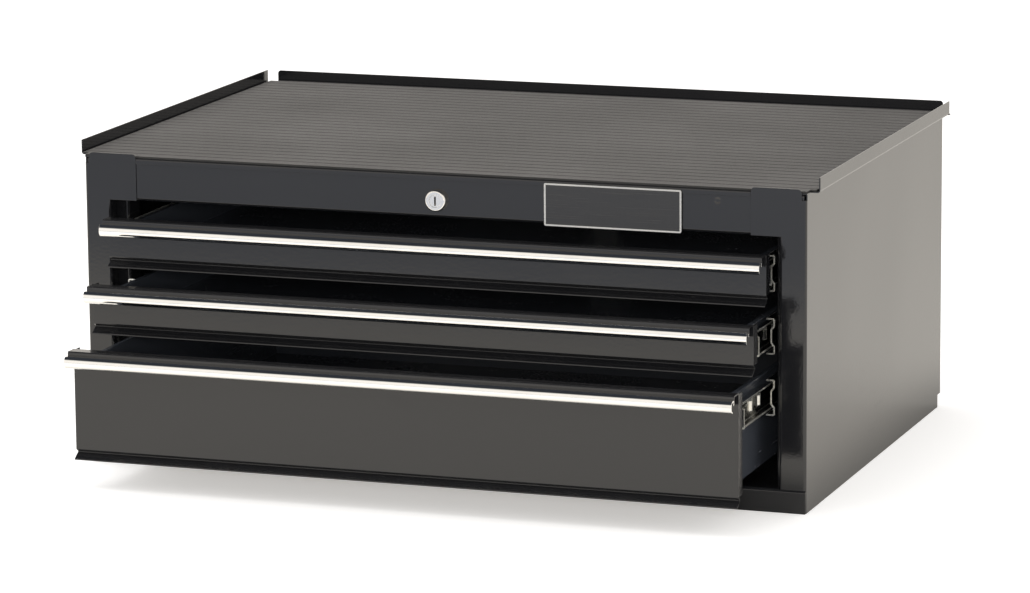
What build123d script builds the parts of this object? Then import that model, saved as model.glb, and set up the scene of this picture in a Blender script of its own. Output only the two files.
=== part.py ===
from build123d import *
import math
import os

# Machinist tool chest: an intermediate chest of folded sheet steel with three full-width drawers on
# ball bearing slides, a raised-edge top tray with a ribbed mat, and one cam lock for all drawers.
# Millimetres, +Z up, +X to the right of someone facing the drawers. Every piece is drawn with its
# depth measured from the front plane of the posts, then moved so that the origin is the centre of
# the footprint, on the surface that the chest stands on.

# ---- Cabinet ------------------------------------------------------------------------------------
cabinet_width = 676.0
cabinet_depth = 460.0
sheet = 1.0                 # steel of the case and the drawers
bend = 1.5                  # inside radius of the folds in the case
fine_bend = 0.6             # inside radius of the tighter folds
fit_gap = 0.2               # between case sheets that lie beside each other
post_face = 24.2            # width of each front post beside the drawers
post_return = 13.0          # fold behind the post's inner edge
rear_return = 16.0          # fold of each side over the back panel
rail_height = 21.0
rail_return = 20.0          # top fold of the bottom rail, into the case
header_height = 38.6        # from the header's lower edge to the tray's top skin
header_return = 22.0
ear_width = 50.0            # upper end of the post, lapped over the header's end
ear_rise = 3.6              # how far the ear stands above the tray
ear_setback = 4.3           # its outer edge, in from the side
ear_round = 4.0
ear_shoulder = 5.0          # the side's front corner stops this far below the tray
corner_notch = 12.0         # cut at the rear lower corner of each side
base_flange = 12.0

# ---- Tray and mat -------------------------------------------------------------------------------
tray_overhang = 8.5
side_lip = 12.4             # above the tray floor
rear_lip = 11.2
rear_lip_round = 3.0
front_flange = 5.0          # fold down in front of the header
lip_front_setback = 12.6
lip_rear_setback = 9.0
tray_corner = 5.0
mat_thickness = 2.0
mat_edge_gap = 1.0
mat_corner = 3.0

# ---- Drawers ------------------------------------------------------------------------------------
front_heights = (45.2, 44.9, 100.1)     # top, middle and bottom drawer fronts, over all
front_gaps = (12.6, 8.8, 5.4)           # over each front
bottom_gap = 5.2
pulled_out = (18.5, 55.5, 99.0)         # how far each stands open
front_side_gap = 6.3                    # between a front and the post beside it
front_side_return = 11.0
ledge_depth = 13.0                      # top fold of the front, forward of its face
ledge_lip = 8.0                         # its fold down, which carries the trim
finger_recess = 4.2                     # lower edge of the face, folded in
finger_lip = 4.0                        # and out again, forward of the face
recess_drop = 2.5
lip_drop = 7.5
hem_height = 1.1
box_below_ledge = 7.4                   # top edge of the drawer's side, under the ledge
box_lift = 1.0                          # bottom of the box, above the lower edge of the face
box_rear_gap = 30.0                     # closed drawer to the rear plane of the case
box_hem = 3.2

# ---- Trim ---------------------------------------------------------------------------------------
trim_reach = 21.5                       # its nose, forward of the face
trim_drop = 3.7                         # its top, under the ledge
trim_height = 10.4
trim_wall = 1.3
trim_nose = 3.2                         # depth of the rounded nose
trim_foot = 1.5

# ---- Slides -------------------------------------------------------------------------------------
slide_inset = 8.8                       # mounting plane, inside the post's edge
slide_thickness = 12.7
slide_sheet = 1.2
slide_bend = 0.4
slide_height = 32.0
slide_flange = 7.5
slide_joggle = 2.5                      # the web stands in at mid height
joggle_half = 5.6
joggle_slope = 3.0
slide_start = 15.6                      # behind the front plane
slide_rear_gap = 44.4
slide_overlap = 100.0                   # left engaged at full travel
slide_drops = (23.0, 24.5, 28.5)        # centre line of each drawer's slides, under its ledge
runner_start = 20.0                     # behind the drawer's face
ball_diameter = 3.175
ball_clearance = 0.0625
ball_pitch = 18.0
balls_in_row = 5
ball_inset = 0.9                        # ball row, behind the edge of the case member's flange
cage_sheet = 0.5
cage_clearance = 0.2
cage_end = 9.0
cage_to_runner = 0.6                    # cage's web to the runner's edges
stop_height = 17.5                      # stop, a hooked tongue that faces the front
stop_rise = 6.1                         # its top, over the runner's centre line
stop_width = 3.0
stop_start = 18.0                       # behind the runner's front end
stop_clearance = 0.4                    # to the case member's web
slot_width = 9.0
slot_height = 9.5
slot_places = (61.0, 85.0)              # behind the runner's front end
tab_reach = 2.0                         # tongue cut from each slot and bent outwards, to the rear
tab_kerf = 0.5                          # round the tongue
rivet_shank = 3.2
rivet_hole = 3.4
rivet_head = 4.8
rivet_head_height = 0.9
runner_rivet_inset = 22.0

# ---- Uprights that carry the slides -------------------------------------------------------------
upright_width = 25.0
upright_foot = 10.0
upright_start = 22.0                    # front pair, behind the front plane
rear_upright_inset = 80.0               # front edge of the rear pair, before the rear plane
upright_top_gap = 4.0

# ---- Lock ---------------------------------------------------------------------------------------
lock_drop = 23.2                        # its axis, below the tray's top skin
lock_flange_diameter = 19.5
lock_flange_height = 5.5
lock_flange_round = 1.8
lock_barrel = 15.0
lock_barrel_fit = 0.3                   # round the barrel, in the header
lock_length = 22.0
lock_nut_width = 22.0
lock_nut_height = 3.0
plug_diameter = 11.0
plug_recess = 0.4
plug_tail = 1.0
plug_fit = 0.05
keyway_width = 1.6
keyway_height = 8.0
keyway_depth = 12.0
rod_diameter = 5.0
rod_fit = 0.06
crank_radius = 8.0
crank_sheet = 3.0
crank_angle = 45.0                      # above level, unlocked, and as far below it, locked
crank_pin = 4.0
crank_pin_length = 7.5
crank_slack = 0.5                       # pin in the slot of the lock bar
crank_gap = 1.5                         # crank to the lock bar
bar_width = 24.0
bar_sheet = 2.0
bar_rear_gap = 12.0                     # lock bar to the rear plane of the case
bar_above_axis = 13.0
bar_below_hook = 10.0
bar_fit = 0.3
guide_sheet = 1.2
guide_height = 20.0
guide_lip = 4.0
guide_foot = 8.0
bracket_foot = 24.0
bracket_width = 24.0
bracket_inset = 33.0                    # rod bracket to the rear plane
bracket_below_rod = 5.5
catch_width = 16.0
catch_reach = 11.2
catch_height = 9.0
catch_back = 14.0
catch_places = (0.35, 0.35, 0.25)       # height of each catch, as a share of the box side
catch_rivet_rise = 6.0
hook_thickness = 2.0
hook_tip = 3.0
hook_tip_drop = 8.0
hook_arm = 8.0
hook_floor_gap = 1.3
hook_behind_wall = 4.5

# ---- Badge --------------------------------------------------------------------------------------
badge_width = 125.6
badge_height = 37.9
badge_sheet = 1.5
badge_round = 1.5
badge_x = 163.2
badge_stud = 3.0
badge_stud_hole = 3.3
badge_spacer = 6.0
badge_stud_inset = 12.0
badge_overhang = 1.5                    # hangs this far below the header's edge

# ---- Back panel rivets --------------------------------------------------------------------------
back_rivets = 4
back_rivet_end = 30.0
back_rivet_head = 6.4

# ---- Worked-out sizes ---------------------------------------------------------------------------
half = cabinet_width / 2
opening_half = half - post_face
front_half = opening_half - front_side_gap
slide_plane = opening_half - slide_inset
box_half = slide_plane - slide_thickness
header_bottom = rail_height + bottom_gap + sum(front_heights) + sum(front_gaps)
tray_top = header_bottom + header_height
tray_bottom = tray_top - sheet
ledge_tops = [header_bottom - sum(front_heights[:i]) - sum(front_gaps[:i + 1]) for i in range(3)]
slide_levels = [top - drop for top, drop in zip(ledge_tops, slide_drops)]
face_drop = lip_drop + hem_height
box_rear = cabinet_depth - box_rear_gap
slide_length = cabinet_depth - slide_start - slide_rear_gap
slide_travel = slide_length - slide_overlap
runner_length = slide_length + slide_start - runner_start
rear_upright_start = cabinet_depth - rear_upright_inset
runner_gap = ball_diameter + 2 * ball_clearance
runner_height = slide_height - 2 * (slide_sheet + runner_gap)
row_height = (runner_height + runner_gap) / 2
ball_x = slide_plane - slide_flange + ball_inset
cage_web = ball_x + ball_diameter / 2 + cage_clearance
runner_tip = cage_web - cage_to_runner
lock_z = tray_top - lock_drop
badge_z = header_bottom - badge_overhang + badge_height / 2
bar_front = cabinet_depth - bar_rear_gap - bar_sheet
crank_rise = crank_radius * math.sin(math.radians(crank_angle))
pin_x = crank_radius * math.cos(math.radians(crank_angle))
bar_drop = 2 * crank_rise
bar_x = (pin_x + crank_radius) / 2


def save(shape, name):
    """Move a piece from the front plane to the origin's frame and write it."""
    moved = Pos(0, -cabinet_depth / 2, 0) * shape
    moved.label = name
    export_step(moved, f"parts/{name}.step")


def block(x0, x1, y0, y1, z0, z1):
    """A plain block between two corners."""
    size = (abs(x1 - x0), abs(y1 - y0), abs(z1 - z0))
    return Pos((x0 + x1) / 2, (y0 + y1) / 2, (z0 + z1) / 2) * Box(*size)


def mirrored(shape, side):
    """The piece as drawn on the right, or its mirror image on the left."""
    return shape if side == "right" else mirror(shape, Plane.YZ)


def rod_y(diameter, x, z, y0, y1):
    """A round bar along Y."""
    return Pos(x, (y0 + y1) / 2, z) * Rot(90, 0, 0) * Cylinder(diameter / 2, y1 - y0)


def rod_x(diameter, y, z, x0, x1):
    """A round bar along X."""
    return Pos((x0 + x1) / 2, y, z) * Rot(0, 90, 0) * Cylinder(diameter / 2, abs(x1 - x0))


def other_skin(points, thickness):
    """The second skin of a folded sheet: the same polyline, set over to its left."""
    normals = []
    for (x0, y0), (x1, y1) in zip(points, points[1:]):
        length = math.hypot(x1 - x0, y1 - y0)
        normals.append(((y0 - y1) / length, (x1 - x0) / length))
    result = []
    for (x, y), a, b in zip(points, normals[:1] + normals, normals + normals[-1:]):
        nx = a[0] + b[0]
        ny = a[1] + b[1]
        scale = 2 * thickness / (nx * nx + ny * ny)
        result.append((x + nx * scale, y + ny * scale))
    return result


def folded(points, thickness, radius, plane, length):
    """A sheet folded along a polyline and drawn out by a length.

    The points run along one skin. The steel lies to their left, or to their right if the thickness
    is negative. Each fold has the given radius inside."""
    near = []
    far = []
    for a, b, c in zip(points, points[1:], points[2:]):
        turn = (b[0] - a[0]) * (c[1] - b[1]) - (b[1] - a[1]) * (c[0] - b[0])
        outside = (turn > 0) == (thickness > 0)
        near.append(radius + abs(thickness) if outside else radius)
        far.append(radius if outside else radius + abs(thickness))
    skin = other_skin(points, thickness)
    with BuildSketch(plane) as section:
        with BuildLine():
            FilletPolyline(*points, radius=near)
            FilletPolyline(*skin, radius=far)
            Line(points[0], skin[0])
            Line(points[-1], skin[-1])
        make_face()
    return extrude(section.sketch, length)


# ---- Case ---------------------------------------------------------------------------------------
def back_rivet_places():
    """Centres of the rivets up each rear fold."""
    low = corner_notch + back_rivet_end
    high = tray_bottom - back_rivet_end
    step = (high - low) / (back_rivets - 1)
    x = half - rear_return / 2
    return [(s * x, low + i * step) for s in (-1, 1) for i in range(back_rivets)]


def side_panel(side):
    """Side, front post and rear fold in one sheet, with the ear that laps over the header."""
    ear_in = half - ear_width
    ear_out = half - ear_setback
    shoulder = tray_bottom - ear_shoulder
    behind = sheet + bend
    rear = (half - rear_return, cabinet_depth)
    lower_plan = [(opening_half, post_return), (opening_half, 0), (half, 0), (half, cabinet_depth), rear]
    upper_plan = [(ear_in, 0), (half, 0), (half, cabinet_depth), rear]
    top_plan = [(half, behind), (half, cabinet_depth), rear]
    panel = folded(lower_plan, sheet, bend, Plane.XY, header_bottom)
    panel += folded(upper_plan, sheet, bend, Plane.XY.offset(header_bottom), shoulder - header_bottom)
    panel += folded(top_plan, sheet, bend, Plane.XY.offset(shoulder), ear_shoulder)
    ear = block(ear_in, ear_out, 0, sheet, shoulder, tray_top + ear_rise)
    panel += fillet(ear.edges().filter_by(Axis.Y).sort_by(Axis.Z)[-2:], ear_round)
    notch_y = cabinet_depth - corner_notch
    panel -= block(half - rear_return - 1, half + 1, notch_y, cabinet_depth + 1, -1, corner_notch)
    for x, z in back_rivet_places():
        panel -= rod_y(rivet_hole, abs(x), z, cabinet_depth - 2 * sheet, cabinet_depth + sheet)
    return mirrored(panel, side)


def back_panel():
    """Flat sheet inside the rear folds of the sides, with its rivet holes."""
    rear = cabinet_depth - sheet
    edge = half - sheet - bend
    panel = block(-edge, edge, rear - sheet, rear, corner_notch + fit_gap, tray_bottom)
    for x, z in back_rivet_places():
        panel -= rod_y(rivet_hole, x, z, rear - 2 * sheet, rear + sheet)
    return panel


def back_rivet_group():
    """Pop rivets that hold the back panel to the sides."""
    inner = cabinet_depth - 2 * sheet
    group = []
    for x, z in back_rivet_places():
        shank = rod_y(rivet_shank, x, z, inner, cabinet_depth)
        head = rod_y(back_rivet_head, x, z, cabinet_depth, cabinet_depth + rivet_head_height)
        tail = rod_y(rivet_head, x, z, inner - rivet_head_height, inner)
        group.append(shank + head + tail)
    return Compound(children=group)


def base_pan():
    """Floor of the case, folded up inside the sides, the rail and the lower rear edge."""
    inner = half - sheet - fit_gap
    tongue = opening_half - fit_gap
    front = post_return + fit_gap
    rear = cabinet_depth - corner_notch
    plan = [(-inner, base_flange), (-inner, 0), (inner, 0), (inner, base_flange)]
    pan = folded(plan, sheet, bend, Plane.XZ.offset(-rear), rear - front)
    pan += block(-tongue, tongue, 0, front, 0, sheet)
    pan += block(-tongue, tongue, 0, sheet, 0, base_flange)
    pan += block(-inner, inner, rear - sheet, rear, bend, base_flange)
    pan += block(-inner, inner, rear - sheet, cabinet_depth - sheet, base_flange - sheet, base_flange)
    return pan


def bottom_rail():
    """Rail across the front, lapped over the lower ends of the posts, its top folded in."""
    edge = half - fit_gap
    section = [(rail_return, rail_height), (-sheet, rail_height), (-sheet, 0)]
    rail = folded(section, sheet, bend, Plane.YZ.offset(-edge), 2 * edge)
    for s in (-1, 1):
        rail -= block(s * (opening_half - fit_gap), s * half, 0, rail_return + 1, -1, rail_height + 1)
    return rail


def header_panel():
    """Cross panel over the drawers, behind the ears and the tray's front fold."""
    edge = half - sheet - bend
    section = [
        (header_return, tray_bottom),
        (sheet, tray_bottom),
        (sheet, header_bottom),
        (header_return, header_bottom),
    ]
    panel = folded(section, sheet, bend, Plane.YZ.offset(-edge), 2 * edge)
    panel -= rod_y(lock_barrel + 2 * lock_barrel_fit, 0, lock_z, 0, 3 * sheet)
    for x in badge_stud_places():
        panel -= rod_y(badge_stud_hole, x, badge_z, 0, 3 * sheet)
    return panel


def upright(side, start):
    """Channel that carries the slides, its feet against the side panel."""
    outer = half - 2 * sheet
    end = start + upright_width
    plan = [
        (outer, start - upright_foot), (outer, start), (slide_plane, start), (slide_plane, end), (outer, end),
        (outer, end + upright_foot),
    ]
    low = base_flange + fit_gap
    channel = folded(plan, -sheet, bend, Plane.XY.offset(low), header_bottom - upright_top_gap - low)
    for level in slide_levels:
        for y, dz in slide_rivet_places():
            z = level + dz
            channel -= rod_x(rivet_hole, y, z, slide_plane - sheet, slide_plane + 2 * sheet)
    return mirrored(channel, side)


# ---- Tray and mat -------------------------------------------------------------------------------
def top_tray():
    """Top of the case: raised sides and back, and a front edge folded down before the header."""
    outer = half + tray_overhang
    lip_rear = cabinet_depth - lip_rear_setback
    ear_inner = half - ear_width - fit_gap
    fold = 3 * bend
    lip_top = tray_top + side_lip
    lips = [(-outer, lip_top), (-outer, tray_bottom), (outer, tray_bottom), (outer, lip_top)]
    tray = folded(lips, sheet, bend, Plane.XZ.offset(-lip_rear), lip_rear - lip_front_setback)
    front = block(-half, half, sheet + fit_gap, lip_front_setback, tray_bottom, tray_top)
    front -= block(-ear_inner, ear_inner, 0, fold, tray_bottom - sheet, tray_top + sheet)
    corner = block(-outer, outer, lip_rear, cabinet_depth, tray_bottom, tray_top)
    corner = chamfer(corner.edges().filter_by(Axis.Z).sort_by(Axis.Y)[-2:], tray_corner)
    corner -= block(-half, half, cabinet_depth - fold, cabinet_depth + 1, tray_bottom - 1, tray_top + 1)
    tray += front
    tray += corner
    nose = [(fold, tray_top), (0, tray_top), (0, tray_top - front_flange)]
    tray += folded(nose, sheet, fine_bend, Plane.YZ.offset(-ear_inner), 2 * ear_inner)
    rear = cabinet_depth
    back = [(rear - fold, tray_bottom), (rear, tray_bottom), (rear, tray_top + rear_lip)]
    lip = folded(back, sheet, bend, Plane.YZ.offset(-half), cabinet_width)
    tray += fillet(lip.edges().filter_by(Axis.Y).sort_by(Axis.Z)[-2:], rear_lip_round)
    return tray


def top_mat():
    """Rubber mat on the tray floor."""
    edge = half + tray_overhang - sheet - bend - mat_edge_gap
    rear = cabinet_depth - sheet - bend - mat_edge_gap
    front = lip_front_setback + mat_edge_gap
    mat_top = tray_top + mat_thickness
    pad = block(-edge, edge, front, rear, tray_top, mat_top)
    pad = chamfer(pad.edges().filter_by(Axis.Z).sort_by(Axis.Y)[-2:], mat_corner)
    return pad + block(-half, half, sheet + 2 * fit_gap, front, tray_top, mat_top)


# ---- Badge and lock -----------------------------------------------------------------------------
def badge_stud_places():
    """Where the badge's studs pass through the header."""
    reach = badge_width / 2 - badge_stud_inset
    return [badge_x - reach, badge_x + reach]


def badge_plate():
    """Plain plate on two spaced studs."""
    x0 = badge_x - badge_width / 2
    z0 = badge_z - badge_height / 2
    plate = block(x0, x0 + badge_width, -badge_sheet, 0, z0, z0 + badge_height)
    plate = fillet(plate.edges().filter_by(Axis.Y), badge_round)
    for x in badge_stud_places():
        plate += rod_y(badge_spacer, x, badge_z, 0, sheet)
        plate += rod_y(badge_stud, x, badge_z, 0, 3 * sheet)
    return plate


def lock_housing():
    """Flanged barrel of the cam lock."""
    flange = rod_y(lock_flange_diameter, 0, lock_z, sheet - lock_flange_height, sheet)
    flange = fillet(flange.edges().filter_by(GeomType.CIRCLE).sort_by(Axis.Y)[0], lock_flange_round)
    end = sheet + lock_length
    barrel = rod_y(lock_barrel, 0, lock_z, sheet, end)
    bore = rod_y(plug_diameter + 2 * plug_fit, 0, lock_z, -lock_flange_height, end + 1)
    return flange + barrel - bore


def lock_nut():
    """Hexagon nut behind the header."""
    hexagon = Plane.XZ.offset(-2 * sheet) * Pos(0, lock_z) * RegularPolygon(lock_nut_width / 2, 6, False)
    nut = extrude(hexagon, -lock_nut_height)
    return nut - rod_y(lock_barrel, 0, lock_z, sheet, 3 * sheet + lock_nut_height)


def lock_plug():
    """Plug with its keyway, turned by the key."""
    face = sheet - lock_flange_height + plug_recess
    plug = rod_y(plug_diameter, 0, lock_z, face, sheet + lock_length + plug_tail)
    w = keyway_width / 2
    h = keyway_height / 2
    return plug - block(-w, w, face - 1, face + keyway_depth, lock_z - h, lock_z + h)


def lock_rod():
    """Rod from the plug to the rear, with a crank and its pin, drawn unlocked."""
    rear = bar_front - crank_gap
    rod = rod_y(rod_diameter, 0, lock_z, sheet + lock_length + plug_tail, rear)
    middle = Plane.XZ.offset(-rear) * Pos(pin_x / 2, lock_z + crank_rise / 2) * Rot(0, 0, crank_angle)
    arm = extrude(middle * SlotCenterToCenter(crank_radius, rod_diameter + 2), crank_sheet)
    pin = rod_y(crank_pin, pin_x, lock_z + crank_rise, rear, rear + crank_pin_length)
    return rod + arm + pin


def lock_rod_bracket():
    """Angle under the tray that holds the rod's rear end."""
    y = cabinet_depth - bracket_inset
    section = [(y - bracket_foot, tray_bottom), (y, tray_bottom), (y, lock_z - bracket_below_rod)]
    bracket = folded(section, -guide_sheet, fine_bend, Plane.YZ.offset(-bracket_width / 2), bracket_width)
    hole = rod_diameter + 2 * rod_fit
    return bracket - rod_y(hole, 0, lock_z, y - 3 * guide_sheet, y + guide_sheet)


def box_levels(i):
    """Lower and upper edge of a drawer's box."""
    low = ledge_tops[i] - front_heights[i] + face_drop + box_lift
    return low, ledge_tops[i] - box_below_ledge


def catch_level(i):
    """Height of the catch on a drawer's back."""
    low, high = box_levels(i)
    return low + (high - low) * catch_places[i]


def lock_bar():
    """Bar behind the drawers, with one hook for each, drawn in its raised, unlocked place."""
    low = catch_level(2) - bar_below_hook + bar_drop
    bar = block(bar_x - bar_width / 2, bar_x + bar_width / 2, bar_front, bar_front + bar_sheet, low,
                lock_z + bar_above_axis)
    reach = crank_pin / 2 + crank_slack
    pin_z = lock_z + crank_rise
    slot_end = crank_radius + reach
    bar -= block(pin_x - reach, slot_end, bar_front - 1, cabinet_depth, pin_z - reach, pin_z + reach)
    x0 = bar_x - hook_thickness / 2
    x1 = bar_x + hook_thickness / 2
    tip = box_rear + hook_behind_wall
    for i in range(3):
        floor = catch_level(i) + guide_sheet + hook_floor_gap + bar_drop
        arm = floor + hook_tip_drop
        bar += block(x0, x1, tip, tip + hook_tip, floor, arm)
        bar += block(x0, x1, tip, bar_front, arm, arm + hook_arm)
    return bar


def lock_bar_guides():
    """Two channels on the back panel that the lock bar runs in."""
    panel = cabinet_depth - 2 * sheet
    inner = bar_width / 2 + bar_fit
    outer = inner + guide_sheet
    lip = bar_front - bar_fit - guide_sheet
    web = bar_front + bar_sheet + bar_fit
    guides = []
    for i in range(2):
        z0 = (catch_level(i) + catch_level(i + 1)) / 2
        z1 = z0 + guide_height
        guide = block(-outer, outer, web, web + guide_sheet, z0, z1)
        for s in (-1, 1):
            guide += block(s * inner, s * outer, lip, panel, z0, z1)
            guide += block(s * (inner - guide_lip), s * outer, lip, lip + guide_sheet, z0, z1)
            guide += block(s * inner, s * (outer + guide_foot), panel - guide_sheet, panel, z0, z1)
        guides.append(Pos(bar_x, 0, 0) * guide)
    return Compound(children=guides)


# ---- Drawers ------------------------------------------------------------------------------------
def drawer_box(i):
    """Bottom and four walls of a drawer, its side edges folded outwards."""
    low, high = box_levels(i)
    walls = [(-box_half, high), (-box_half, low), (box_half, low), (box_half, high)]
    pan = folded(walls, sheet, fine_bend, Plane.XZ.offset(-box_rear), box_rear - sheet)
    inner = box_half - sheet / 2
    for y in (sheet, box_rear - sheet):
        pan += block(-inner, inner, y, y + sheet, low + sheet / 2, high)
    runner_z = slide_levels[i]
    for s in (-1, 1):
        pan += block(s * (box_half - sheet), s * (box_half + box_hem), sheet, box_rear, high - sheet, high)
        for y in runner_rivet_places():
            pan -= rod_x(rivet_hole, y, runner_z, s * (box_half - 2 * sheet), s * (box_half + sheet))
    pan -= rod_y(rivet_hole, bar_x, catch_level(i) + catch_rivet_rise, box_rear - 2 * sheet, box_rear + sheet)
    return Pos(0, -pulled_out[i], 0) * pan


def drawer_front(i):
    """Drawer front: a face folded forward over the top for the pull, and in and out again below."""
    under = ledge_tops[i] - sheet
    edge = ledge_tops[i] - front_heights[i] + face_drop
    lip = edge - lip_drop
    lip_back = sheet - ledge_depth
    outline = [
        (lip_back, ledge_tops[i] - ledge_lip), (lip_back, under), (0, under), (0, edge),
        (finger_recess, edge - recess_drop), (-finger_lip, lip), (-finger_lip, lip - hem_height),
    ]
    front = folded(outline, sheet, fine_bend, Plane.YZ.offset(-front_half), 2 * front_half)
    for s in (-1, 1):
        inner = s * (front_half - sheet)
        front += block(inner, s * front_half, sheet / 2, front_side_return, edge + sheet, under)
    return Pos(0, -pulled_out[i], 0) * front


def drawer_trim(i):
    """Extruded pull trim: a rounded nose on a web against the ledge's fold."""
    top = ledge_tops[i] - trim_drop
    low = top - trim_height
    middle = top - trim_height / 2
    back = -ledge_depth
    shoulder = trim_nose - trim_reach
    foot = shoulder + trim_foot
    web = back - trim_wall
    foot_top = low + trim_wall
    web_foot = ledge_tops[i] - ledge_lip
    with BuildSketch(Plane.YZ.offset(-front_half)) as section:
        with BuildLine():
            Polyline((shoulder, top), (back, top), (back, web_foot), (web, web_foot), (web, top - trim_wall),
                     (shoulder, top - trim_wall))
            ThreePointArc((shoulder, top), (-trim_reach, middle), (shoulder, low))
            ThreePointArc((shoulder, top - trim_wall), (trim_wall - trim_reach, middle), (shoulder, foot_top))
            Polyline((shoulder, low), (foot, low), (foot, foot_top), (shoulder, foot_top))
        make_face()
    return Pos(0, -pulled_out[i], 0) * extrude(section.sketch, 2 * front_half)


def drawer_catch(i):
    """Catch on the drawer's back: the lock bar's hook drops in behind its upright edge."""
    z = catch_level(i)
    x0 = bar_x - catch_width / 2
    x1 = bar_x + catch_width / 2
    end = box_rear + catch_reach
    rivet_z = z + catch_rivet_rise
    catch = block(x0, x1, box_rear, box_rear + guide_sheet, z, z + catch_back)
    catch += block(x0, x1, box_rear, end, z, z + guide_sheet)
    catch += block(x0, x1, end - guide_sheet, end, z, z + catch_height)
    catch += rod_y(rivet_shank, bar_x, rivet_z, box_rear - sheet, box_rear)
    catch += rod_y(rivet_head, bar_x, rivet_z, box_rear - sheet - rivet_head_height, box_rear - sheet)
    return Pos(0, -pulled_out[i], 0) * catch


# ---- Slides -------------------------------------------------------------------------------------
def slide_rivet_places():
    """Rivets that hold a case member to its two uprights: depth, and height from the centre line."""
    dz = (slide_height / 2 - slide_sheet + joggle_half + joggle_slope) / 2
    middle = upright_width / 2
    return [(y + middle, s * dz) for y in (upright_start, rear_upright_start) for s in (-1, 1)]


def case_member(i, side):
    """Case member with its rivets: a channel open to the drawer, its web set in at mid height."""
    z = slide_levels[i]
    top = z + slide_height / 2
    low = z - slide_height / 2
    tip = slide_plane - slide_flange
    inset = slide_plane - slide_joggle
    rise = joggle_half + joggle_slope
    profile = [
        (tip, top), (slide_plane, top), (slide_plane, z + rise), (inset, z + joggle_half),
        (inset, z - joggle_half), (slide_plane, z - rise), (slide_plane, low), (tip, low),
    ]
    end = Plane.XZ.offset(-slide_start - slide_length)
    member = folded(profile, -slide_sheet, slide_bend, end, slide_length)
    inner = slide_plane - slide_sheet
    outer = slide_plane + sheet
    for y, dz in slide_rivet_places():
        member += rod_x(rivet_shank, y, z + dz, inner, outer)
        member += rod_x(rivet_head, y, z + dz, inner - rivet_head_height, inner)
        member += rod_x(rivet_head, y, z + dz, outer, outer + rivet_head_height)
    return mirrored(member, side)


def runner_rivet_places():
    """Depth of the rivets between runner and box, with the drawer closed."""
    first = runner_start + runner_rivet_inset
    last = runner_start + runner_length - runner_rivet_inset
    return [first, (first + last) / 2, last]


def slot_tab(web, front, low):
    """Tongue that leans out of a slot at 45 degrees, from the slot's front edge."""
    along = slide_sheet * math.sqrt(2)
    tip = web + tab_reach
    corners = [
        (web - slide_sheet, front),
        (web, front),
        (tip, front + tab_reach),
        (tip, front + tab_reach + along),
        (web - slide_sheet, front + along - slide_sheet),
    ]
    face = Plane.XY.offset(low + tab_kerf) * make_face(Polyline(*corners, close=True))
    return extrude(face, slot_height - 2 * tab_kerf, dir=(0, 0, 1))


def runner(i, side):
    """Drawer member with its rivets: a channel open to the case, with a folded stop at its front."""
    z = slide_levels[i]
    h = runner_height / 2
    web = box_half + slide_sheet
    profile = [(runner_tip, z + h), (box_half, z + h), (box_half, z - h), (runner_tip, z - h)]
    end = Plane.XZ.offset(-runner_start - runner_length)
    body = folded(profile, slide_sheet, slide_bend, end, runner_length)
    for place in slot_places:
        front = runner_start + place - slot_width / 2
        low = z - slot_height / 2
        body -= block(box_half - 1, web + 1, front, front + slot_width, low, low + slot_height)
        body += slot_tab(web, front, low)
    outer = slide_plane - slide_joggle - slide_sheet - stop_clearance
    y0 = runner_start + stop_start
    y1 = y0 + slide_sheet
    top = z + stop_rise
    body += block(box_half, outer, y0, y1, top - stop_width, top)
    body += block(outer - stop_width, outer, y0, y1, top - stop_height, top)
    for y in runner_rivet_places():
        body += rod_x(rivet_shank, y, z, box_half - sheet, box_half + slide_sheet / 2)
        body += rod_x(rivet_head, y, z, box_half - sheet - rivet_head_height, box_half - sheet)
    return Pos(0, -pulled_out[i], 0) * mirrored(body, side)


def ball_places(i):
    """Centres of the balls on one side: depth, and height of the two rows."""
    z = slide_levels[i]
    closed = slide_start + (slide_overlap + slide_travel) / 2
    first = closed - pulled_out[i] / 2 - ball_pitch * (balls_in_row - 1) / 2
    return [(first + k * ball_pitch, z + s * row_height) for k in range(balls_in_row) for s in (-1, 1)]


def cage(i, side):
    """Retainer that spaces the balls, a thin channel between the two members."""
    places = ball_places(i)
    y0 = places[0][0] - cage_end
    y1 = places[-1][0] + cage_end
    z = slide_levels[i]
    inner = ball_x - ball_diameter / 2 - cage_clearance
    outer = cage_web + cage_sheet
    row = row_height + cage_sheet / 2
    body = block(inner, outer, y0, y1, z - row, z + row)
    body -= block(inner - 1, cage_web, y0 - 1, y1 + 1, z - row + cage_sheet, z + row - cage_sheet)
    for y, height in places:
        body -= Pos(ball_x, y, height) * Cylinder(ball_diameter / 2 + ball_clearance, 4 * cage_sheet)
    return mirrored(body, side)


def balls(i):
    """Steel balls of both slides of one drawer."""
    places = [(s * ball_x, y, z) for s in (-1, 1) for y, z in ball_places(i)]
    return Compound(children=[Pos(*place) * Sphere(ball_diameter / 2) for place in places])


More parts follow.
